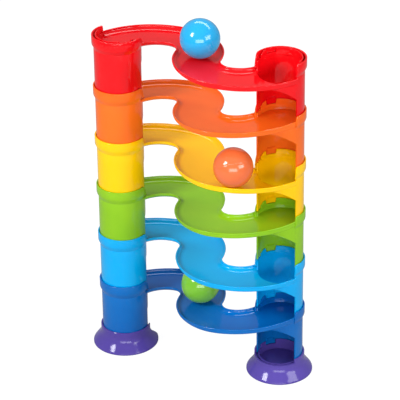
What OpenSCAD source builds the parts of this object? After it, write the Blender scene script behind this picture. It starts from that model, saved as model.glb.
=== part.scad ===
// Toddler's marble run: six identical moulded ramps stacked on two feet, each ramp turned
// half round on the one below, with three hollow balls.
// +X runs from the left tower to the right one, +Y to the back, Z = 0 is the floor.

/* [Stack] */
// Distance between the two tower axes
tower_spacing = 192; // [176:1:230]
// Rise from one ramp to the next
level_rise = 62; // [58:0.5:80]
// Fall of each lane from its high tower to its low tower
lane_fall = 8.8; // [4:0.2:12]

/* [Ball] */
// Diameter of a ball
ball_d = 45; // [42:0.5:48]
// Wall of a hollow ball
ball_wall = 1.6; // [1:0.1:4]
// Room for the ball inside a tube, each side
ball_room = 0.9; // [0.6:0.1:3]

/* [Towers] */
// Wall of a tube
tube_wall = 1.7; // [1.2:0.1:3]
// Wall of the guide ring inside a collar
guide_wall = 1.4; // [1:0.1:2.5]
// Wall of the lip round a collar
lip_wall = 1.95; // [1.2:0.05:3]
// Gap between a tube and the collar lip round it
lip_gap = 0.25; // [0.2:0.05:0.6]
// Gap between a tube and the guide ring inside it
guide_gap = 0.3; // [0.2:0.05:0.6]
// How deep a tube sits in the collar below
seat_depth = 7; // [5:0.5:9]
// Gap below a seated tube
seat_gap = 0.3; // [0.1:0.05:0.5]
// Height of the straight band round a collar
collar_band = 10.6; // [10:0.2:16]
// Height of the tapered step below that band
collar_step = 4.4; // [3:0.2:7]
// Width of the locating key's notch
key_w = 13; // [10:0.5:16]
// Room for the locating rib in its notch, each side
key_room = 1.5; // [0.4:0.1:2.5]
// Depth of the locating key's notch
key_h = 5.5; // [4:0.5:6.5]

/* [Mouths] */
// Room for the ball at the sides of the mouth through a collar
mouth_room = 0.6; // [0.4:0.1:1.5]
// Room for the ball at the sides of the window through a tube
window_room = 1.2; // [0.6:0.1:1.6]
// Turn of each mouth away from straight ahead
mouth_turn = 9.5; // [0:0.5:20]
// Height of the window above the collar below, on the low side of a ramp
low_window_h = 33; // [31:0.5:35]
// Height of the window above the collar below, on the high side of a ramp
high_window_h = 41; // [36:0.5:43]
// Radius of the rounded top corners of a window
window_corner_r = 22; // [14:0.5:25]

/* [Lane] */
// Drop from the collar tops to the middle of the lane's rim
rim_drop = 12; // [11:0.5:15]
// Depth of the lane below its rim
lane_depth = 5; // [3:0.25:7]
// Thickness of the lane's floor
lane_floor = 1.8; // [1.2:0.1:3]
// Thickness of the lane's side walls
lane_wall = 1.9; // [1.2:0.1:3]
// How far right of the middle the outer bend has its centre
bend_x = 38.7; // [30:0.5:45]
// How far behind the middle the outer bend has its centre
bend_y = 30.3; // [20:0.5:36]
// Radius of the outer edge round the bowl
bowl_bend_r = 64; // [56:1:74]
// Turn at which the outer bend runs into the bowl's edge
bowl_turn = 4; // [0:0.5:10]
// Radius of the neck between lane and bowl
neck_r = 15; // [10:0.5:18]
// How far the lane's inner edge lies in front of the tower axes
inner_edge = 14.8; // [12:0.2:20]
// Radius of the lane's inner edge beside the tower
inner_bend_r = 28.7; // [22:0.5:34]

/* [Feet] */
// Room for the ball at the sides of the exit foot's way out
exit_room = 3.9; // [1:0.1:6]
// Height of a foot up to its collar top
foot_h = 24.7; // [23:0.1:34]
// Diameter of a foot on the floor
foot_d = 76.6; // [68:0.2:96]
// Straight edge round the bottom of a foot
foot_edge = 2.6; // [1.5:0.1:5]
// Height of the straight band round the top of a foot
foot_band = 7.5; // [5:0.5:9]
// Wall of a foot
foot_wall = 2; // [1.5:0.1:3]
// Height of the floor inside the exit foot
exit_floor_h = 5; // [4:0.25:7]
// How far the exit foot's floor stops short of its skirt
exit_setback = 6; // [4:0.5:8]
// Height of the seat inside the plain foot
plain_floor_h = 12; // [8:0.5:13]
// Height of the sill across the plain foot's mouth
sill_h = 20; // [18:0.5:22]

/* [Hidden] */
$fn = 96;

eps = 0.01;
weld = 0.3;                                     // overlap where two walls of one piece join
reach = 300;                                    // longer than anything it cuts
lip_share = 0.6;                                // how far into the lip the lane's outer edge runs
run_behind = 3.5;                               // the ball's run has its centre this far off the axes

// Tube and collar radii, from the ball outwards
ball_r = ball_d / 2;
bore_r = ball_r + ball_room;
guide_r = bore_r + guide_wall;
tube_in_r = guide_r + guide_gap;
tube_r = tube_in_r + tube_wall;
lip_in_r = tube_r + lip_gap;
collar_r = lip_in_r + lip_wall;

// Half angles of mouth and window, as the ball sees them at the tube's inner face
mouth_angle = asin((ball_r + mouth_room) / tube_in_r);
window_angle = asin((ball_r + window_room) / tube_in_r);
exit_half = ball_r + exit_room;
corner_x = tube_r - window_corner_r;

// Heights inside one ramp, measured from the lower edge of its tubes
ramp_h = level_rise + seat_depth;
groove_z = ramp_h - seat_depth - seat_gap;
web_t = tube_wall;
step_z = ramp_h - collar_band;
lane_tilt = atan(lane_fall / tower_spacing);
floor_mid_z = ramp_h - rim_drop - lane_depth;
key_turn = 45;
key_gap = 0.4;
key_reach = 4;                                  // how far inside the bore the notch's cut starts
key_inset = 0.2;                                // the rib stays this far outside the bore
key_rise = 3;                                   // and rises this far above the guide ring

// Plan of the lane: centres of its arcs, for the front right half
tower = [tower_spacing / 2, 0];
bend_c = [bend_x, bend_y];
merge_r = collar_r - lip_wall * lip_share;
bend_r = merge_r + norm(bend_c - tower);
tower_dir = atan2(tower.y - bend_c.y, tower.x - bend_c.x);
join_dir = -90 - bowl_turn;
bowl_c = bend_c + (bend_r - bowl_bend_r) * [cos(join_dir), sin(join_dir)];
neck_y = neck_r - inner_edge;
neck_x = sqrt(pow(bowl_bend_r + neck_r, 2) - pow(neck_y + bowl_c.y, 2)) - bowl_c.x;
neck_c = [neck_x, neck_y];
inner_c = [neck_x, inner_bend_r - inner_edge];

// Feet
foot_r = foot_d / 2;
foot_groove_z = foot_h - seat_depth - seat_gap;
foot_waist_z = foot_h - foot_band;
exit_r = foot_r - exit_setback;

// The balls run round these points, on the lane in front on the right and behind on the left
run_c = [tower_spacing / 4, run_behind];
run_r = tower_spacing / 4;
ball_lift = ball_r + seat_gap;
blue_turn = 179.4;
orange_turn = -81;
green_turn = 7.2;

// ---- plan shapes ----

// Half plane on the left of the line through p at angle a
module left_of(p, a) {
    translate(p) rotate(a) translate([-reach, 0]) square([2 * reach, reach]);
}

// Outside edge of the front half of the lane, drawn in by inset
module half_outside(inset) {
    intersection() {
        translate(bend_c) circle(r = bend_r - inset, $fn = 180);
        left_of(bend_c, join_dir);
        left_of(bend_c, tower_dir + 180);
    }
    intersection() {
        translate(bowl_c) circle(r = bowl_bend_r - inset, $fn = 180);
        left_of(bend_c, join_dir + 180);
    }
}

// Open space inside the front bend, grown by inset
module half_void(inset) {
    intersection() {
        translate(neck_c) circle(r = neck_r + inset);
        left_of(neck_c, 90);
    }
    intersection() {
        translate(inner_c) circle(r = inner_bend_r + inset);
        left_of(neck_c, -90);
    }
}

module half_plan(inset) {
    difference() {
        intersection() {
            half_outside(inset);
            left_of([0, 0], 180);
        }
        half_void(inset);
    }
}

// The whole S of the lane, without the towers
module lane_plan(inset = 0) {
    half_plan(inset);
    rotate(180) half_plan(inset);
}

// ---- pieces shared by ramps and feet ----

// Faces the mouth of the right tower, with the tower on the Z axis and the mouth along -Y
module at_mouth() {
    rotate(-mouth_turn) children();
}

// Wedge in plan, half degrees to each side of straight ahead
module wedge(half) {
    polygon([[0, 0], [-reach * sin(half), -reach * cos(half)], [reach * sin(half), -reach * cos(half)]]);
}

// Plan of a mouth: a wedge through wall and lip, and the whole front half inside the wall
module mouth_plan() {
    wedge(mouth_angle);
    intersection() {
        circle(r = tube_in_r + weld / 2);
        left_of([0, 0], 180);
    }
}

// Mouth from z0 upwards
module mouth(z0, height) {
    at_mouth() translate([0, 0, z0]) linear_extrude(height) mouth_plan();
}

// Window with round top corners in the lower part of a tube; its jambs point at the axis
module window(top) {
    at_mouth() intersection() {
        translate([0, 0, -1]) linear_extrude(top + 2) wedge(window_angle);
        rotate([90, 0, 0]) linear_extrude(reach) union() {
            translate([-corner_x, top - window_corner_r]) circle(r = window_corner_r);
            translate([corner_x, top - window_corner_r]) circle(r = window_corner_r);
            translate([-corner_x, -1]) square([2 * corner_x, top + 1]);
            translate([-tube_r, -1]) square([2 * tube_r, top - window_corner_r + 1]);
        }
    }
}

// Socket for the tube above: web, lip and guide ring, with the collar's top at z = top
module socket_ring(top, web_z) {
    translate([0, 0, web_z]) difference() {
        cylinder(r = collar_r, h = top - web_z);
        translate([0, 0, -1]) cylinder(r = bore_r, h = top - web_z + 2);
        translate([0, 0, top - seat_depth - seat_gap - web_z]) difference() {
            cylinder(r = lip_in_r, h = seat_depth + 1);
            translate([0, 0, -1]) cylinder(r = guide_r, h = seat_depth + 3);
        }
    }
}

// Notch in the guide ring, behind and to the left of the right tower's axis
module key_notch(top) {
    rotate(90 + key_turn) translate([bore_r - key_reach, -key_w / 2, top - key_h])
        cube([guide_wall + guide_gap / 2 + key_reach, key_w, key_h + 1]);
}

// Rib inside the lower edge of a tube, which drops into that notch
module key_rib() {
    key_foot = seat_depth - key_h + key_gap;
    rotate(90 + key_turn) intersection() {
        translate([bore_r + key_inset, -key_w / 2 + key_room, key_foot])
            cube([tube_in_r - bore_r + tube_wall / 2, key_w - 2 * key_room, key_h + key_rise]);
        cylinder(r = tube_in_r + tube_wall / 2, h = ramp_h);
    }
}

// One tube with its collar, its axis on Z and its mouth to the front
module tube(window_top) {
    difference() {
        union() {
            difference() {
                union() {
                    cylinder(r = tube_r, h = step_z);
                    translate([0, 0, step_z - collar_step])
                        cylinder(r1 = tube_r, r2 = collar_r, h = collar_step);
                    translate([0, 0, step_z]) cylinder(r = collar_r, h = groove_z - step_z);
                }
                translate([0, 0, -1]) cylinder(r = tube_in_r, h = groove_z + 2);
            }
            socket_ring(ramp_h, groove_z - web_t);
            key_rib();
        }
        key_notch(ramp_h);
        window(seat_depth + window_top);
    }
}

// ---- one ramp, high end on the right ----

module tilted() {
    translate([0, 0, floor_mid_z]) rotate([0, -lane_tilt, 0]) children();
}

// Both towers' discs in plan
module tower_discs(r) {
    translate(tower) circle(r = r);
    translate(-tower) circle(r = r);
}

// Space over the lane's floor that the ball needs clear at both towers
module mouths_over_floor() {
    intersection() {
        tilted() translate([-reach, -reach, 0]) cube([2 * reach, 2 * reach, reach]);
        union() {
            translate([tower.x, 0, 0]) mouth(0, ramp_h + 1);
            translate([-tower.x, 0, 0]) rotate(180) mouth(0, ramp_h + 1);
        }
    }
}

module ramp_towers() {
    difference() {
        union() {
            translate([tower.x, 0, 0]) tube(high_window_h);
            translate([-tower.x, 0, 0]) rotate(180) tube(low_window_h);
        }
        mouths_over_floor();
    }
}

// Floor and side walls of the lane, with the high tower's floor
module tray() {
    seam_r = tube_in_r + tube_wall / 2;
    tilted() {
        translate([0, 0, -lane_floor]) linear_extrude(lane_floor) difference() {
            union() {
                lane_plan();
                translate(tower) circle(r = seam_r);
            }
            translate(-tower) circle(r = tube_in_r + weld);
        }
        translate([0, 0, -lane_floor]) linear_extrude(lane_floor + lane_depth) difference() {
            lane_plan();
            lane_plan(lane_wall);
            tower_discs(tube_in_r + weld);
        }
    }
}

// Space over both webs, where the tubes above sit
module socket_space() {
    translate([0, 0, groove_z - weld / 2]) linear_extrude(reach) tower_discs(lip_in_r + weld / 2);
}

module ramp_shape() {
    ramp_towers();
    difference() {
        tray();
        socket_space();
    }
}

// Every other level is turned half round
function level_turn(level) = (level % 2) * 180;

// Places a ramp on its level, counted from 0 at the bottom
module on_level(level) {
    translate([0, 0, foot_h - seat_depth + level * level_rise]) rotate(level_turn(level)) children();
}

module ramp_red() {
    color([0.90, 0.07, 0.10]) on_level(5) ramp_shape();
}

module ramp_orange() {
    color([0.94, 0.40, 0.13]) on_level(4) ramp_shape();
}

module ramp_yellow() {
    color([0.98, 0.80, 0.06]) on_level(3) ramp_shape();
}

module ramp_green() {
    color([0.50, 0.74, 0.18]) on_level(2) ramp_shape();
}

module ramp_sky_blue() {
    color([0.05, 0.66, 0.90]) on_level(1) ramp_shape();
}

module ramp_dark_blue() {
    color([0.02, 0.38, 0.70]) on_level(0) ramp_shape();
}

// ---- feet ----

// Outer shape of a foot: collar, waist, flared skirt and edge
module foot_outside() {
    cylinder(r = foot_r, h = foot_edge);
    translate([0, 0, foot_edge]) cylinder(r1 = foot_r, r2 = collar_r, h = foot_waist_z - foot_edge);
    translate([0, 0, foot_waist_z]) cylinder(r = collar_r, h = foot_h - foot_waist_z);
}

// Hollow under the floor of a foot
module foot_hollow(floor_z) {
    translate([0, 0, -1]) cylinder(r = bore_r, h = floor_z - foot_wall + 1);
    difference() {
        union() {
            translate([0, 0, -1]) cylinder(r = foot_r - foot_wall, h = foot_edge + 1 + eps);
            translate([0, 0, foot_edge]) cylinder(r1 = foot_r - foot_wall, r2 = collar_r - foot_wall,
                h = foot_groove_z - foot_wall - foot_edge);
        }
        translate([0, 0, -2]) cylinder(r = bore_r + foot_wall, h = foot_h);
    }
}

// Collar groove of a foot, open to the tube above
module foot_groove() {
    translate([0, 0, foot_groove_z]) difference() {
        cylinder(r = lip_in_r, h = seat_depth + 1);
        translate([0, 0, -1]) cylinder(r = guide_r, h = seat_depth + 3);
    }
}

// A foot with its mouth to the front, before its mouth is cut
module foot_body(floor_z) {
    difference() {
        foot_outside();
        foot_hollow(floor_z);
        translate([0, 0, floor_z]) cylinder(r = bore_r, h = foot_h);
        foot_groove();
        key_notch(foot_h);
    }
}

// Right foot: closed seat with a low sill
module foot_plain() {
    color([0.36, 0.30, 0.63]) translate([tower.x, 0, 0]) difference() {
        foot_body(plain_floor_h);
        mouth(sill_h, foot_h);
    }
}

// Straight-sided way out of the exit foot, grown by margin at its sides and its back
module way_out(margin, z0, height) {
    at_mouth() translate([-exit_half - margin, -reach, z0])
        cube([2 * (exit_half + margin), reach + margin, height]);
}

// Left foot: its wall is open at the back down to a floor that the ball rolls out over
module foot_exit() {
    color([0.36, 0.30, 0.63]) translate([-tower.x, 0, 0]) rotate(180) {
        difference() {
            foot_body(exit_floor_h);
            way_out(0, -1, foot_h + 2);
        }
        intersection() {
            union() {
                translate([0, 0, exit_floor_h - foot_wall]) cylinder(r = exit_r, h = foot_wall);
                difference() {
                    cylinder(r = exit_r, h = exit_floor_h);
                    translate([0, 0, -1]) cylinder(r = exit_r - foot_wall, h = exit_floor_h);
                }
            }
            way_out(weld, 0, exit_floor_h);
        }
    }
}

// ---- balls ----

module ball_shell() {
    difference() {
        sphere(r = ball_r);
        sphere(r = ball_r - ball_wall);
    }
}

// Puts a ball on the lane of a level, turn degrees round the centre c of its run
module on_lane(level, c, turn) {
    on_level(level) tilted() rotate(-level_turn(level))
        translate([c.x + run_r * cos(turn), c.y + run_r * sin(turn), ball_lift]) children();
}

module ball_blue() {
    color([0.10, 0.60, 0.90]) on_lane(5, run_c, blue_turn) ball_shell();
}

module ball_orange() {
    color([0.95, 0.48, 0.33]) on_lane(3, run_c, orange_turn) ball_shell();
}

module ball_green() {
    color([0.45, 0.78, 0.22]) on_lane(0, -run_c, green_turn) ball_shell();
}

ramp_red();
ramp_orange();
ramp_yellow();
ramp_green();
ramp_sky_blue();
ramp_dark_blue();
foot_exit();
foot_plain();
ball_blue();
ball_orange();
ball_green();
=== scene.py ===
import bpy
import bmesh
from math import sin, cos, tan, atan, atan2, radians, degrees, sqrt, asin, hypot, pi
from mathutils import Matrix, Vector, Quaternion


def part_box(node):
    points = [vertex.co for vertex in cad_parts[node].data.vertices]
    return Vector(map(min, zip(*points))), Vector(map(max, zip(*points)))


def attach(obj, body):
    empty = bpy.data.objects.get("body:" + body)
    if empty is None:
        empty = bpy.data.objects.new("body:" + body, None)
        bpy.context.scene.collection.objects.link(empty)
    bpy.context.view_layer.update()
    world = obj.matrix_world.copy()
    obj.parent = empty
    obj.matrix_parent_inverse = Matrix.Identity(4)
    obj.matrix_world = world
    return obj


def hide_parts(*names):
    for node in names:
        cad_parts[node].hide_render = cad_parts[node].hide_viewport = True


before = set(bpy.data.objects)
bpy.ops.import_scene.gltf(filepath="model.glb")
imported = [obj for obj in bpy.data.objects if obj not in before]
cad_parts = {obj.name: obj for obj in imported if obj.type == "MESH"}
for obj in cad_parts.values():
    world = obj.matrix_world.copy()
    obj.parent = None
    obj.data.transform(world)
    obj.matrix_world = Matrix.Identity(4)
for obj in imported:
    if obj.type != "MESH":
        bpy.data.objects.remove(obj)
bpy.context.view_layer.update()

# ---- Feet ----
# Two purple mouldings in glossy ABS that the lowest ramp stands in: a socket ring over a flared skirt.
# The left one is open at the back, where the ball rolls out; the right one has a low sill across its front.
# Sizes here and below are in millimetres; the finished meshes are scaled to metres.
TOWER_X = 96.0                    # the towers' axes are at -96 and 96
BALL_R = 22.5
BORE_R, GUIDE_R, TUBE_IN_R, TUBE_R = 23.4, 24.8, 25.1, 26.8
LIP_IN_R, COLLAR_R = 27.05, 29.0
GUIDE_MID_R = (BORE_R + GUIDE_R) / 2
MOUTH_DIR, KEY_DIR = radians(-99.5), radians(135.0)
MOUTH_HALF = asin((BALL_R + 0.6) / TUBE_IN_R)
FOOT_H, FOOT_R, FOOT_EDGE, FOOT_WALL, FOOT_GROOVE = 24.7, 38.3, 2.6, 2.0, 17.4
SILL_H, SILL_IN_R, PLAIN_FLOOR = 20.0, 25.2, 12.0
EXIT_FLOOR, EXIT_HALF, EXIT_PLATE_R, EXIT_LIP_HALF = 5.0, 26.4, FOOT_R - 6.0, radians(54)
NOTCH_DEPTH, FOOT_NOTCH_HALF = 5.5, 6.5
SOFT = 0.4                        # small corner on moulded edges


def moulded_plastic(name, colour, deep, rough=0.09):
    """Glossy through-coloured ABS, slightly uneven in colour, with a polished mould's faint orange peel."""
    mat = bpy.data.materials.new(name)
    mat.use_nodes = True
    nodes, links = mat.node_tree.nodes, mat.node_tree.links
    shader = nodes["Principled BSDF"]
    coords = nodes.new("ShaderNodeTexCoord")

    flow = nodes.new("ShaderNodeTexNoise")
    flow.inputs["Scale"].default_value = 14.0
    flow.inputs["Detail"].default_value = 3.0
    links.new(coords.outputs["Object"], flow.inputs["Vector"])
    tint = nodes.new("ShaderNodeValToRGB")
    tint.color_ramp.elements[0].position = 0.30
    tint.color_ramp.elements[0].color = (*deep, 1)
    tint.color_ramp.elements[1].position = 0.62
    tint.color_ramp.elements[1].color = (*colour, 1)
    links.new(flow.outputs["Fac"], tint.inputs["Fac"])
    links.new(tint.outputs["Color"], shader.inputs["Base Color"])

    handling = nodes.new("ShaderNodeTexNoise")
    handling.inputs["Scale"].default_value = 55.0
    handling.inputs["Detail"].default_value = 4.0
    links.new(coords.outputs["Object"], handling.inputs["Vector"])
    polish = nodes.new("ShaderNodeMapRange")
    polish.inputs["From Min"].default_value = 0.3
    polish.inputs["From Max"].default_value = 0.75
    polish.inputs["To Min"].default_value = rough * 0.8
    polish.inputs["To Max"].default_value = rough * 1.35
    links.new(handling.outputs["Fac"], polish.inputs["Value"])
    links.new(polish.outputs["Result"], shader.inputs["Roughness"])

    peel = nodes.new("ShaderNodeTexNoise")
    peel.inputs["Scale"].default_value = 420.0
    peel.inputs["Detail"].default_value = 1.0
    links.new(coords.outputs["Object"], peel.inputs["Vector"])
    skin = nodes.new("ShaderNodeBump")
    skin.inputs["Strength"].default_value = 0.05
    skin.inputs["Distance"].default_value = 0.0004
    links.new(peel.outputs["Fac"], skin.inputs["Height"])
    links.new(skin.outputs["Normal"], shader.inputs["Normal"])

    shader.inputs["IOR"].default_value = 1.5
    shader.inputs["Specular IOR Level"].default_value = 0.34
    return mat


def facing(direction, side):
    """A direction at the right tower (side 1); at the left one (side -1) it is turned half round."""
    return direction + (0 if side > 0 else pi)


def turned(bm, side, profile_at, start, end, steps, also=()):
    """A wall turned about a tower's axis; profile_at(angle) gives its closed outline as (radius, height)."""
    full = abs(end - start) > 2 * pi - 1e-6
    angles = [start + (end - start) * i / steps for i in range(steps if full else steps + 1)]
    rings = []
    for angle in sorted(angles + list(also)):
        rings.append([bm.verts.new((side * TOWER_X + r * cos(angle), r * sin(angle), z))
                      for r, z in profile_at(angle)])
    pairs = list(zip(rings, rings[1:])) + ([(rings[-1], rings[0])] if full else [])
    for a, b in pairs:
        for j in range(len(a)):
            k = (j + 1) % len(a)
            bm.faces.new((a[j], b[j], b[k], a[k]))
    if not full:
        bm.faces.new(rings[0])
        bm.faces.new(list(reversed(rings[-1])))


def mesh_from(bm, name):
    bmesh.ops.recalc_face_normals(bm, faces=bm.faces)
    mesh = bpy.data.meshes.new(name)
    bm.to_mesh(mesh)
    bm.free()
    return mesh


def placed(mesh, name):
    piece = bpy.data.objects.new(name, mesh)
    bpy.context.scene.collection.objects.link(piece)
    return piece


def finished_mesh(piece):
    """The piece's mesh with its modifiers applied, as a plain mesh; the piece itself goes."""
    graph = bpy.context.evaluated_depsgraph_get()
    mesh = bpy.data.meshes.new_from_object(piece.evaluated_get(graph))
    bpy.data.objects.remove(piece)
    return mesh


def cut_away(mesh, cutter_mesh):
    """The mesh without the space that the cutter fills."""
    piece, cutter = placed(mesh, "cut_piece"), placed(cutter_mesh, "cutter")
    cut = piece.modifiers.new("cut", "BOOLEAN")
    cut.operation = "DIFFERENCE"
    cut.solver = "EXACT"
    cut.object = cutter
    bpy.context.view_layer.update()
    finished = finished_mesh(piece)
    bpy.data.objects.remove(cutter)
    return finished


def joined(name, meshes):
    whole = bmesh.new()
    for mesh in meshes:
        whole.from_mesh(mesh)
        bpy.data.meshes.remove(mesh)
    mesh = bpy.data.meshes.new(name)
    whole.to_mesh(mesh)
    whole.free()
    return mesh


def block(side, turn, low, high):
    """A block beside a tower, its own x axis turned from the tower's."""
    bm = bmesh.new()
    bmesh.ops.create_cube(bm, size=1.0)
    for v in bm.verts:
        v.co = Vector(low[i] + (v.co[i] + 0.5) * (high[i] - low[i]) for i in range(3))
    place = Matrix.Translation((side * TOWER_X, 0, 0)) @ Matrix.Rotation(turn, 4, "Z")
    bmesh.ops.transform(bm, matrix=place, verts=bm.verts)
    return mesh_from(bm, "block")


def sector(side, half, z0, z1, radius=60.0):
    """A slice of a disc towards the tower's mouth."""
    bm = bmesh.new()
    mouth = facing(MOUTH_DIR, side)
    outline = [(0.5, z0), (radius, z0), (radius, z1), (0.5, z1)]
    turned(bm, side, lambda angle: outline, mouth - half, mouth + half, 24)
    return mesh_from(bm, "sector")


def foot_skin(angle):
    """Outline of a foot's wall, the same all round: under the skirt, up it, and over the lip and the ring."""
    return [(BORE_R, SOFT), (BORE_R + SOFT, 0.0), (BORE_R + FOOT_WALL, 0.0),
            (BORE_R + FOOT_WALL, FOOT_GROOVE - FOOT_WALL - 0.6),
            (COLLAR_R - FOOT_WALL, FOOT_GROOVE - FOOT_WALL), (FOOT_R - FOOT_WALL, FOOT_EDGE),
            (FOOT_R - FOOT_WALL, 0.0),
            (FOOT_R - 0.5, 0.0), (FOOT_R, 0.5), (FOOT_R, FOOT_EDGE - 0.9), (FOOT_R - 0.12, FOOT_EDGE - 0.45),
            (FOOT_R - 0.45, FOOT_EDGE + 0.1), (FOOT_R - 0.9, FOOT_EDGE + 0.7),
            (35.6, 5.7), (33.8, 8.05), (32.0, 10.4), (30.9, 12.0), (30.1, 13.6), (29.55, 15.2), (29.2, 16.6),
            (COLLAR_R, 18.2), (COLLAR_R, FOOT_H - 0.5), (COLLAR_R - 0.5, FOOT_H),
            (LIP_IN_R + SOFT, FOOT_H), (LIP_IN_R, FOOT_H - SOFT), (LIP_IN_R, FOOT_GROOVE),
            (GUIDE_R, FOOT_GROOVE), (GUIDE_R, FOOT_H - SOFT), (GUIDE_R - SOFT, FOOT_H),
            (BORE_R + SOFT, FOOT_H), (BORE_R, FOOT_H - SOFT)]


def foot_wall(side):
    bm = bmesh.new()
    turned(bm, side, foot_skin, 0, 2 * pi, 144)
    wall = mesh_from(bm, "foot_wall")
    if side > 0:
        wall = cut_away(wall, sector(side, MOUTH_HALF, SILL_H, FOOT_H + 5))
        wall = cut_away(wall, sector(side, pi / 2, SILL_H + 0.05, FOOT_H + 4, SILL_IN_R))
    else:
        turn = facing(MOUTH_DIR, side) + pi / 2
        wall = cut_away(wall, block(side, turn, (-EXIT_HALF, -60.0, -5.0), (EXIT_HALF, 0.0, 40.0)))
    low = (BORE_R - 4, -FOOT_NOTCH_HALF, FOOT_H - NOTCH_DEPTH)
    high = (GUIDE_R + 0.15, FOOT_NOTCH_HALF, FOOT_H + 3)
    return cut_away(wall, block(side, facing(KEY_DIR, side), low, high))


def foot_floor(side, top):
    """The plate in the socket. The exit foot's runs out through the way out and turns down to the table."""
    under = top - FOOT_WALL
    in_socket = BORE_R + 0.6

    def plain_plate(angle):
        return [(0.001, under), (in_socket, under), (in_socket, top), (0.001, top)]

    def exit_plate(angle):
        off = abs((angle - facing(MOUTH_DIR, side) + pi) % (2 * pi) - pi)
        reach = min(EXIT_PLATE_R, EXIT_HALF / max(sin(off), 0.01)) if off < pi / 2 else in_socket
        lip = 0.0 if off < EXIT_LIP_HALF else under
        return [(0.001, under), (reach - FOOT_WALL, under), (reach - FOOT_WALL, lip), (reach, lip),
                (reach, top - SOFT), (reach - SOFT, top), (0.001, top)]

    plate = bmesh.new()
    if side > 0:
        turned(plate, side, plain_plate, 0, 2 * pi, 96)
    else:
        turned(plate, side, exit_plate, 0, 2 * pi, 180)
    bmesh.ops.remove_doubles(plate, verts=plate.verts, dist=0.01)
    return mesh_from(plate, "foot_floor")


purple = moulded_plastic("purple_plastic", (0.088, 0.058, 0.33), (0.072, 0.046, 0.28))
for name, side, floor_z in (("foot_plain", 1, PLAIN_FLOOR), ("foot_exit", -1, EXIT_FLOOR)):
    mesh = joined(name, [foot_wall(side), foot_floor(side, floor_z)])
    mesh.transform(Matrix.Scale(0.001, 4))
    mesh.shade_smooth()
    mesh.set_sharp_from_angle(angle=radians(35))
    mesh.materials.append(purple)
    foot = placed(mesh, name + "_moulding")
    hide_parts(name)
    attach(foot, "feet")

# ---- Ramps ----
# Six equal ramps, each one moulding in the same ABS: two tube towers with collars, and the S-shaped lane.
# They stack turn about, every other one turned half round, and each tube drops into the collar below.
# Heights are above the lower edge of the ramp's tubes; the high end is on the right.
LEVEL_RISE, FIRST_RAMP_Z = 62.0, 17.7
SEAT, RAMP_H, STEP_Z, CONE_Z, GROOVE_Z, WEB_Z = 7.0, 69.0, 58.4, 54.0, 61.7, 60.0
LANE_Z, LANE_DROP = 52.0, 8.8
LANE_TILT = atan(LANE_DROP / (2 * TOWER_X))
LANE_DEPTH, LANE_FLOOR, RIM_R = 5.0, 1.8, 0.95
HOLE_R, HIGH_FLOOR_R = 25.0, 25.95
WINDOW_HALF = asin((BALL_R + 1.2) / TUBE_IN_R)
WINDOW_CORNER_R = 22.0
WINDOW_TOP = {1: 41.0, -1: 33.0}  # over the collar below
NOTCH_FOOT_HALF, NOTCH_TOP_HALF = 5.9, 7.0
RIB_HALF, RIB_MID_R = 5.0, 24.4
EDGE = 0.35                       # rounding of moulded edges


def lane_height(x):
    return LANE_Z + x * tan(LANE_TILT)


def collar_top(side, angle):
    """Height of a collar's lip: level, round at the outer jamb, running down to the rim at the inner one."""
    turn = (angle - facing(MOUTH_DIR, side)) % (2 * pi)
    outer = (turn - MOUTH_HALF) / radians(5)
    inner = (2 * pi - MOUTH_HALF - turn) / radians(24)
    drop = 0.0
    if outer < 1:
        drop = 2.2 * (1 - sqrt(max(0.0, 1 - (1 - outer) ** 2)))
    if inner < 1:
        rim = lane_height(side * TOWER_X + COLLAR_R * cos(angle)) + LANE_DEPTH
        drop = (RAMP_H - rim - 0.6) * (0.5 + 0.5 * cos(pi * max(inner, 0.0))) ** 1.4
    return RAMP_H - drop


def tube_wall(bm, side):
    """The tube behind the window, from its lower edge to the web."""
    def outline(angle):
        return [(TUBE_IN_R, SOFT), (TUBE_IN_R + SOFT, 0), (TUBE_R - SOFT, 0), (TUBE_R, SOFT),
                (TUBE_R, 20), (TUBE_R, 40), (TUBE_R, WEB_Z + 0.5), (TUBE_IN_R, WEB_Z + 0.5),
                (TUBE_IN_R, 40), (TUBE_IN_R, 20)]

    mouth = facing(MOUTH_DIR, side)
    turned(bm, side, outline, mouth + WINDOW_HALF, mouth + 2 * pi - WINDOW_HALF, 104)


def window_head(bm, side):
    """The wall over the window, up to the underside of the lane; the window's upper corners are round."""
    mouth = facing(MOUTH_DIR, side)
    corner_z = SEAT + WINDOW_TOP[side] - WINDOW_CORNER_R

    def head(radius, angle):
        across = max(abs(radius * sin(angle - mouth)) - (TUBE_R - WINDOW_CORNER_R), 0.0)
        return corner_z + sqrt(WINDOW_CORNER_R ** 2 - across ** 2)

    def outline(angle):
        top = lane_height(side * TOWER_X + 26.0 * cos(angle)) - 0.6
        low_out, low_in = head(TUBE_R, angle), head(TUBE_IN_R, angle)
        return [(TUBE_IN_R, low_in + EDGE), (TUBE_IN_R + EDGE, low_in), (TUBE_R - EDGE, low_out),
                (TUBE_R, low_out + EDGE), (TUBE_R, (low_out + top) / 2), (TUBE_R, top), (TUBE_IN_R, top),
                (TUBE_IN_R, (low_in + top) / 2)]

    turned(bm, side, outline, mouth - WINDOW_HALF, mouth + WINDOW_HALF, 56)


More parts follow.
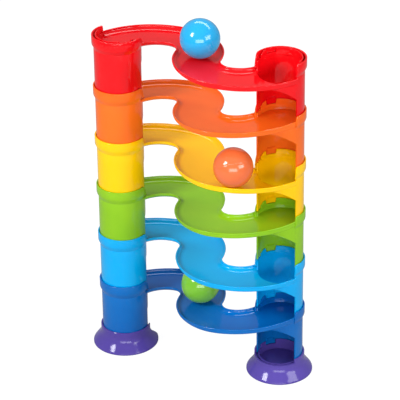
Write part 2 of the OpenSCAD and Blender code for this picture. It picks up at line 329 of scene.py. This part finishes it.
def collar(bm, side):
    """The tapered step, the band and the lip, whose top runs down into the lane's rim beside the mouth."""
    def outline(angle):
        top = collar_top(side, angle)
        return [(26.2, CONE_Z - 1.2), (TUBE_R, CONE_Z - 0.6), (TUBE_R + 0.25, CONE_Z + 0.3),
                (COLLAR_R - 0.35, min(STEP_Z - 0.6, top - 1.6)),
                (COLLAR_R - 0.05, min(STEP_Z + 0.5, top - 1.2)),
                (COLLAR_R - 0.1, top - 1.0), (COLLAR_R - 0.25, top - 0.7), (COLLAR_R - 0.6, top - 0.45),
                (LIP_IN_R + 0.6, top - 0.45), (LIP_IN_R + 0.2, top - 0.7), (LIP_IN_R + 0.1, top - 1.0),
                (LIP_IN_R, min(WEB_Z, top - 1.4)), (26.2, CONE_Z)]

    mouth = facing(MOUTH_DIR, side)
    turned(bm, side, outline, mouth + MOUTH_HALF, mouth + 2 * pi - MOUTH_HALF, 150)


def guide_ring(bm, side):
    """The web and the ring on it, round the back half only, with the notch that takes the rib above."""
    start, end = facing(MOUTH_DIR, side) + pi / 2, facing(MOUTH_DIR, side) + 3 * pi / 2
    key = facing(KEY_DIR, side)
    foot_half, top_half = NOTCH_FOOT_HALF / GUIDE_MID_R, NOTCH_TOP_HALF / GUIDE_MID_R

    def web(angle):
        return [(BORE_R, WEB_Z + 0.3), (BORE_R + 0.3, WEB_Z), (27.4, WEB_Z), (27.4, GROOVE_Z),
                (23.9, GROOVE_Z), (BORE_R, GROOVE_Z)]

    def ring(angle):
        share = min(max((abs(angle - key) - foot_half) / (top_half - foot_half), 0.0), 1.0)
        outer, inner = (angle - start) / radians(6), (end - angle) / radians(16)
        top = RAMP_H - NOTCH_DEPTH * (1 - share)
        if outer < 1:
            top -= 2.4 * (1 - sqrt(max(0.0, 1 - (1 - outer) ** 2)))
        if inner < 1:
            top -= 3.2 * (0.5 + 0.5 * cos(pi * max(inner, 0.0)))
        return [(BORE_R, WEB_Z + 0.8), (GUIDE_R, WEB_Z + 0.8), (GUIDE_R, top - SOFT), (GUIDE_R - SOFT, top),
                (BORE_R + SOFT, top), (BORE_R, top - SOFT)]

    turned(bm, side, web, start, end, 72)
    corners = [key + turn for turn in (-top_half, -foot_half, foot_half, top_half)]
    turned(bm, side, ring, start, end, 120, corners)


def locating_rib(bm, side):
    """The rib inside the tube's lower edge."""
    def outline(angle):
        return [(23.6, 2.4), (24.1, 1.9), (25.9, 1.9), (25.9, 10.4), (25.2, 10.4), (23.6, 8.8)]

    key, half = facing(KEY_DIR, side), RIB_HALF / RIB_MID_R
    turned(bm, side, outline, key - half, key + half, 10)


# The lane's plan is made of arcs: an outer bend, the bowl, the neck and the inner arch, and then the same
# again, turned half round.
MERGE_R = COLLAR_R - 0.6 * (COLLAR_R - LIP_IN_R)
BEND_C = (38.7, 30.3)
BEND_R = MERGE_R + hypot(BEND_C[0] - TOWER_X, BEND_C[1])
JOIN_DIR = radians(-94.0)
BOWL_R, NECK_R, INNER_R, INNER_Y = 64.0, 15.0, 28.7, 14.8
BOWL_C = (BEND_C[0] + (BEND_R - BOWL_R) * cos(JOIN_DIR), BEND_C[1] + (BEND_R - BOWL_R) * sin(JOIN_DIR))
NECK_Y = NECK_R - INNER_Y
NECK_X = sqrt((BOWL_R + NECK_R) ** 2 - (NECK_Y + BOWL_C[1]) ** 2) - BOWL_C[0]
INNER_C = (NECK_X, INNER_R - INNER_Y)
# rays from the run's centre sweep half of the lane, from its middle to the high end
RUN_C = (48.0, 3.5)
FIRST_RAY, LAST_RAY, RAYS = atan2(-RUN_C[1], -RUN_C[0]) + 2 * pi, radians(347.1), 110


def out_to_circle(direction, centre, radius):
    """Where the ray from the run's centre meets a circle round it."""
    dx, dy = cos(direction), sin(direction)
    ox, oy = RUN_C[0] - centre[0], RUN_C[1] - centre[1]
    b = ox * dx + oy * dy
    t = -b + sqrt(b * b - (ox * ox + oy * oy - radius * radius))
    return Vector((RUN_C[0] + t * dx, RUN_C[1] + t * dy))


def outer_edge(direction, inset):
    p = out_to_circle(direction, BOWL_C, BOWL_R - inset)
    jx, jy = cos(JOIN_DIR), sin(JOIN_DIR)
    if jx * (p.y - BEND_C[1]) - jy * (p.x - BEND_C[0]) > 0:
        p = out_to_circle(direction, BEND_C, BEND_R - inset)
    return p


def inner_edge(direction, inset):
    p = out_to_circle(direction, (NECK_X, NECK_Y), NECK_R + inset)
    if p.x > NECK_X:
        p = out_to_circle(direction, INNER_C, INNER_R + inset)
    return p


def lane_rays():
    return [FIRST_RAY + (LAST_RAY - FIRST_RAY) * i / RAYS for i in range(RAYS + 1)]


# Half of the lane's cross-section, from the middle of the underside round to the middle of the floor: how far
# in from the edge, and how high above the floor. The underside rises to a shallow edge in the middle of the
# lane and along its inner side, and stays deep round the outer bend.
SHALLOW = [(9.0, -1.8), (6.5, -1.7), (4.9, -1.3), (3.7, -0.65), (2.6, 0.3), (1.6, 1.2), (0.9, 1.75),
           (0.45, 2.2), (0.35, 2.7)]
DEEP = [(9.0, -1.8), (6.5, -1.8), (4.9, -1.8), (3.7, -1.78), (2.6, -1.7), (1.6, -1.5), (0.9, -1.15),
        (0.45, -0.6), (0.35, 0.1)]
INSIDE = [(0.35, 3.6), (0.4, LANE_DEPTH - 0.95), (0.6, LANE_DEPTH - 0.6), (1.3, LANE_DEPTH - 0.6),
          (1.6, LANE_DEPTH - 0.95), (1.75, 3.4), (2.05, 2.55), (2.65, 1.75), (3.5, 1.02), (4.7, 0.45),
          (6.2, 0.12), (8.0, 0.0)]


def wall_side(deep):
    below = [(a[0], a[1] + (b[1] - a[1]) * deep) for a, b in zip(SHALLOW, DEEP)]
    return below + INSIDE


def lane_ring(direction):
    """The lane's closed cross-section along one ray, outer side first."""
    deep = min(max((direction - radians(205)) / radians(60), 0.0), 1.0)
    deep = deep * deep * (3 - 2 * deep)
    points = [(outer_edge(direction, d), z) for d, z in wall_side(deep)]
    across = [(inner_edge(direction, d), z) for d, z in reversed(wall_side(0.0))]
    a, b = points[-1][0], across[0][0]
    points += [(a.lerp(b, t / 6), 0.0) for t in range(1, 6)] + across
    return [(p.x, p.y, z) for p, z in points]


def tilted(point):
    """A point of the level lane, moved to where the tilted lane has it."""
    return Matrix.Rotation(-LANE_TILT, 3, "Y") @ Vector(point) + Vector((0, 0, LANE_Z))


def lane_mesh():
    """The whole lane, swept as one shell and tilted, with the low tower's hole through its floor."""
    front = [lane_ring(ray) for ray in lane_rays()]
    # turned half round, the outer side becomes the inner one, so the outline is read the other way round
    back = [[(-x, -y, z) for x, y, z in reversed(ring)] for ring in front[1:]]
    lane = bmesh.new()
    rings = [[lane.verts.new(tilted(p)) for p in ring] for ring in list(reversed(front)) + back]
    for a, b in zip(rings, rings[1:]):
        for j in range(len(a)):
            k = (j + 1) % len(a)
            lane.faces.new((a[j], a[k], b[k], b[j]))
    lane.faces.new(list(reversed(rings[0])))
    lane.faces.new(rings[-1])

    drill = bmesh.new()
    outline = [(0.001, 40.0), (HOLE_R, 40.0), (HOLE_R, 60.0), (0.001, 60.0)]
    turned(drill, -1, lambda angle: outline, 0, 2 * pi, 128)
    bmesh.ops.remove_doubles(drill, verts=drill.verts, dist=0.01)
    return cut_away(mesh_from(lane, "lane"), mesh_from(drill, "drill"))


def high_floor_mesh():
    """The high tower's floor, a disc in the lane's plane."""
    floor = bmesh.new()
    outline = [(0.001, -LANE_FLOOR), (HIGH_FLOOR_R, -LANE_FLOOR), (HIGH_FLOOR_R, -0.02), (0.001, -0.02)]
    turned(floor, 1, lambda angle: outline, 0, 2 * pi, 96)
    bmesh.ops.remove_doubles(floor, verts=floor.verts, dist=0.01)
    for v in floor.verts:
        v.co = tilted(v.co)
    return mesh_from(floor, "high_floor")


def towers_mesh():
    walls = bmesh.new()
    for side in (1, -1):
        for part in (tube_wall, window_head, collar, guide_ring, locating_rib):
            part(walls, side)
    piece = placed(mesh_from(walls, "towers"), "towers")
    round_over = piece.modifiers.new("edges", "BEVEL")
    round_over.width = EDGE
    round_over.segments = 2
    round_over.limit_method = "ANGLE"
    round_over.angle_limit = radians(60)
    return finished_mesh(piece)


def rim_lines():
    """Middle lines of the rolled rims: both edges of the lane, and the lip of each collar."""
    lines = []
    rays = lane_rays()
    for edge, other in ((outer_edge, inner_edge), (inner_edge, outer_edge)):
        front = [edge(ray, RIM_R) for ray in reversed(rays)]
        back = [-other(ray, RIM_R) for ray in rays[1:]]
        lines.append([tilted((p.x, p.y, LANE_DEPTH - RIM_R)) for p in front + back])
    for side in (1, -1):
        mouth = facing(MOUTH_DIR, side)
        first, last = mouth + MOUTH_HALF + 0.02, mouth + 2 * pi - MOUTH_HALF
        radius = COLLAR_R - RIM_R
        lines.append([Vector((side * TOWER_X + radius * cos(t), radius * sin(t), collar_top(side, t) - RIM_R))
                      for t in [first + (last - first) * i / 150 for i in range(151)]])
    return lines


def rolled_rim_nodes():
    """Geometry Nodes: sweeps a round bead along the rims' middle lines."""
    tree = bpy.data.node_groups.new("rolled_rim", "GeometryNodeTree")
    face = tree.interface
    face.new_socket(name="Geometry", in_out="INPUT", socket_type="NodeSocketGeometry")
    radius = face.new_socket(name="Bead radius", in_out="INPUT", socket_type="NodeSocketFloat")
    plastic = face.new_socket(name="Plastic", in_out="INPUT", socket_type="NodeSocketMaterial")
    face.new_socket(name="Geometry", in_out="OUTPUT", socket_type="NodeSocketGeometry")
    add = tree.nodes.new
    given = add("NodeGroupInput")
    path = add("GeometryNodeMeshToCurve")
    circle = add("GeometryNodeCurvePrimitiveCircle")
    sweep = add("GeometryNodeCurveToMesh")
    smooth = add("GeometryNodeSetShadeSmooth")
    real = add("GeometryNodeRealizeInstances")
    dress = add("GeometryNodeSetMaterial")
    result = add("NodeGroupOutput")
    circle.inputs["Resolution"].default_value = 12
    sweep.inputs["Fill Caps"].default_value = True
    link = tree.links.new
    link(given.outputs["Geometry"], path.inputs["Mesh"])
    link(given.outputs["Bead radius"], circle.inputs["Radius"])
    link(path.outputs["Curve"], sweep.inputs["Curve"])
    link(circle.outputs["Curve"], sweep.inputs["Profile Curve"])
    link(sweep.outputs["Mesh"], smooth.inputs["Geometry"])
    link(smooth.outputs["Geometry"], real.inputs["Geometry"])
    link(real.outputs["Geometry"], dress.inputs["Geometry"])
    link(given.outputs["Plastic"], dress.inputs["Material"])
    link(dress.outputs["Geometry"], result.inputs["Geometry"])
    return tree, radius.identifier, plastic.identifier


rim_tree, radius_socket, plastic_socket = rolled_rim_nodes()


def rim_beads(name, place, plastic):
    lines = bmesh.new()
    for line in rim_lines():
        points = [lines.verts.new(place @ p) for p in line]
        for a, b in zip(points, points[1:]):
            lines.edges.new((a, b))
    path_mesh = bpy.data.meshes.new(name + "_rims")
    lines.to_mesh(path_mesh)
    lines.free()
    path = placed(path_mesh, name + "_rims")
    sweep = path.modifiers.new("rolled rim", "NODES")
    sweep.node_group = rim_tree
    sweep[radius_socket] = RIM_R / 1000
    sweep[plastic_socket] = plastic
    bpy.context.view_layer.update()
    return placed(finished_mesh(path), name + "_rim_beads")


RAMPS = [
    ("dark_blue", (0.001, 0.140, 0.47), (0.001, 0.105, 0.40)),
    ("sky_blue", (0.001, 0.39, 0.80), (0.001, 0.34, 0.75)),
    ("green", (0.25, 0.51, 0.012), (0.20, 0.46, 0.010)),
    ("yellow", (0.93, 0.56, 0.001), (0.90, 0.51, 0.001)),
    ("orange", (0.86, 0.155, 0.012), (0.80, 0.12, 0.008)),
    ("red", (0.80, 0.004, 0.008), (0.70, 0.002, 0.006)),
]
ramp_mesh = joined("ramp", [towers_mesh(), lane_mesh(), high_floor_mesh()])
for level, (colour_name, colour, deep) in enumerate(RAMPS):
    name = "ramp_" + colour_name
    plastic = moulded_plastic(name + "_plastic", colour, deep)
    place = (Matrix.Translation((0, 0, (FIRST_RAMP_Z + LEVEL_RISE * level) / 1000))
             @ Matrix.Rotation(pi * (level % 2), 4, "Z") @ Matrix.Scale(0.001, 4))
    mesh = ramp_mesh.copy()
    mesh.transform(place)
    mesh.shade_smooth()
    mesh.set_sharp_from_angle(angle=radians(38))
    mesh.materials.append(plastic)
    moulding = placed(mesh, name + "_moulding")
    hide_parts(name)
    rims = rim_beads(name, place, plastic)
    for piece in (moulding, rims):
        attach(piece, name)

# ---- Balls ----
# Three hollow balls, moulded in halves and welded; a fine seam runs round each one.
# Their plastic is pearly: a clear skin over a pale shimmer.
SEAM = [(-0.9, 0.0), (-0.45, -0.05), (-0.2, -0.16), (0.0, -0.2), (0.2, -0.16), (0.45, -0.05), (0.9, 0.0)]


def ball_outline():
    """Half of the ball's outline from pole to pole, as (distance from the axis, height)."""
    below = [(-90 + 4 * i, BALL_R) for i in range(22)]
    seam = [(degrees(asin(z / BALL_R)), BALL_R + dip) for z, dip in SEAM]
    above = [(6 + 4 * i, BALL_R) for i in range(22)]
    return [(radius * cos(radians(latitude)), radius * sin(radians(latitude)))
            for latitude, radius in below + seam + above]


def ball_mesh(node, pole):
    bm = bmesh.new()
    count = 96
    turns = [2 * pi * i / count for i in range(count)]
    outline = ball_outline()
    first = bm.verts.new((0, 0, -BALL_R))
    rings = [[bm.verts.new((r * cos(t), r * sin(t), z)) for t in turns] for r, z in outline[1:-1]]
    last = bm.verts.new((0, 0, BALL_R))
    beside = [(i, (i + 1) % count) for i in range(count)]
    for i, k in beside:
        bm.faces.new((first, rings[0][k], rings[0][i]))
    for a, b in zip(rings, rings[1:]):
        for i, k in beside:
            bm.faces.new((a[i], a[k], b[k], b[i]))
    for i, k in beside:
        bm.faces.new((rings[-1][i], rings[-1][k], last))
    low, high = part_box(node)
    turn = Vector((0, 0, 1)).rotation_difference(Vector(pole)).to_matrix().to_4x4()
    place = Matrix.Translation((low + high) / 2) @ turn @ Matrix.Scale(0.001, 4)
    bmesh.ops.transform(bm, matrix=place, verts=bm.verts)
    return mesh_from(bm, node + "_shell")


def pearl_plastic(name, colour, pale):
    mat = moulded_plastic(name, pale, colour, rough=0.14)
    shader = mat.node_tree.nodes["Principled BSDF"]
    shader.inputs["Coat Weight"].default_value = 0.6
    shader.inputs["Coat Roughness"].default_value = 0.05
    shader.inputs["Sheen Weight"].default_value = 0.25
    shader.inputs["Sheen Roughness"].default_value = 0.4
    shader.inputs["Sheen Tint"].default_value = (*pale, 1)
    return mat


BALLS = [
    ("blue", (0.006, 0.33, 0.68), (0.012, 0.39, 0.75), (0.5, -0.4, 0.75)),
    ("orange", (0.76, 0.130, 0.030), (0.80, 0.175, 0.055), (-0.3, 0.5, 0.8)),
    ("green", (0.18, 0.50, 0.025), (0.27, 0.60, 0.05), (0.2, 0.8, 0.55)),
]
for colour_name, colour, pale, pole in BALLS:
    node = "ball_" + colour_name
    ball = placed(ball_mesh(node, pole), node + "_shell")
    ball.data.shade_smooth()
    ball.data.materials.append(pearl_plastic(node + "_pearl", colour, pale))
    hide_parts(node)
    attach(ball, node)

# ---- Floor and backdrop ----
# A plain table top of matt white paper that runs on to the horizon.
# To the camera it is seven tenths even white and three tenths lit paper, which keeps the toy's shadow.
bm = bmesh.new()
bmesh.ops.create_circle(bm, cap_ends=True, radius=12.0, segments=96)
floor = placed(mesh_from(bm, "floor"), "floor")
paper = bpy.data.materials.new("white_paper")
paper.use_nodes = True
nodes, links = paper.node_tree.nodes, paper.node_tree.links
sheet = nodes["Principled BSDF"]
sheet.inputs["Base Color"].default_value = (0.38, 0.38, 0.38, 1)
sheet.inputs["Roughness"].default_value = 0.8
fibre = nodes.new("ShaderNodeTexNoise")
fibre.inputs["Scale"].default_value = 300.0
fibre_bump = nodes.new("ShaderNodeBump")
fibre_bump.inputs["Strength"].default_value = 0.05
fibre_bump.inputs["Distance"].default_value = 0.0005
links.new(fibre.outputs["Fac"], fibre_bump.inputs["Height"])
links.new(fibre_bump.outputs["Normal"], sheet.inputs["Normal"])
lit = nodes.new("ShaderNodeEmission")
lit.inputs["Color"].default_value = (1, 1, 1, 1)
lit.inputs["Strength"].default_value = 1.33
seen = nodes.new("ShaderNodeLightPath")
share = nodes.new("ShaderNodeMath")
share.operation = "MULTIPLY"
share.inputs[1].default_value = 0.7
links.new(seen.outputs["Is Camera Ray"], share.inputs[0])
blend = nodes.new("ShaderNodeMixShader")
links.new(share.outputs["Value"], blend.inputs["Fac"])
links.new(sheet.outputs["BSDF"], blend.inputs[1])
links.new(lit.outputs["Emission"], blend.inputs[2])
links.new(blend.outputs["Shader"], nodes["Material Output"].inputs["Surface"])
floor.data.materials.append(paper)

# ---- Light ----
# A white room with four softboxes, aimed at the middle of the toy. The key stands high in front on the left,
# the widest one low in front, a fill on the right and a strip behind.
world = bpy.data.worlds.new("studio")
bpy.context.scene.world = world
world.use_nodes = True
room_nodes, room_links = world.node_tree.nodes, world.node_tree.links
room = room_nodes["Background"]
room.inputs["Color"].default_value = (1, 1, 1, 1)
room.inputs["Strength"].default_value = 0.42
backdrop = room_nodes.new("ShaderNodeBackground")
backdrop.inputs["Color"].default_value = (1, 1, 1, 1)
backdrop.inputs["Strength"].default_value = 1.0
ray = room_nodes.new("ShaderNodeLightPath")
pick = room_nodes.new("ShaderNodeMixShader")
room_links.new(ray.outputs["Is Camera Ray"], pick.inputs["Fac"])
room_links.new(room.outputs["Background"], pick.inputs[1])
room_links.new(backdrop.outputs["Background"], pick.inputs[2])
room_links.new(pick.outputs["Shader"], room_nodes["World Output"].inputs["Surface"])


def softbox(name, place, width, height, power):
    lamp = bpy.data.lights.new(name, "AREA")
    lamp.shape = "RECTANGLE"
    lamp.size, lamp.size_y = width, height
    lamp.energy = power
    piece = bpy.data.objects.new(name, lamp)
    piece.location = place
    piece.rotation_mode = "QUATERNION"
    piece.rotation_quaternion = (Vector((0, 0, 0.2)) - Vector(place)).to_track_quat("-Z", "Y")
    bpy.context.scene.collection.objects.link(piece)


softbox("key_softbox", (-1.05, -1.42, 1.6), 0.6, 0.75, 33.0)
softbox("front_softbox", (0.87, -2.4, 0.72), 2.2, 0.8, 33.0)
softbox("side_softbox", (1.75, -0.6, 1.05), 1.1, 0.7, 16.0)
softbox("back_strip", (0.1, 1.1, 1.95), 2.6, 0.4, 20.0)

# ---- Camera ----
# A long lens a little above the toy, in front of it and towards the right.
# It looks at the middle of the towers, from 2.7 m away.
azimuth, elevation, roll = radians(20.9065), radians(27.8216), radians(-0.7534)
target, distance = Vector((0.00013, 0.0, 0.20370)), 2.7166
back = Vector((sin(azimuth) * cos(elevation), -cos(azimuth) * cos(elevation), sin(elevation)))
camera = bpy.data.objects.new("camera", bpy.data.cameras.new("camera"))
camera.data.sensor_width = 36.0
camera.data.lens = 215.24
camera.data.clip_start, camera.data.clip_end = 0.1, 50.0
camera.location = target + back * distance
camera.rotation_mode = "QUATERNION"
camera.rotation_quaternion = (-back).to_track_quat("-Z", "Y") @ Quaternion((0, 0, 1), roll)
bpy.context.scene.collection.objects.link(camera)
bpy.context.scene.camera = camera
bpy.context.scene.view_settings.view_transform = "Standard"
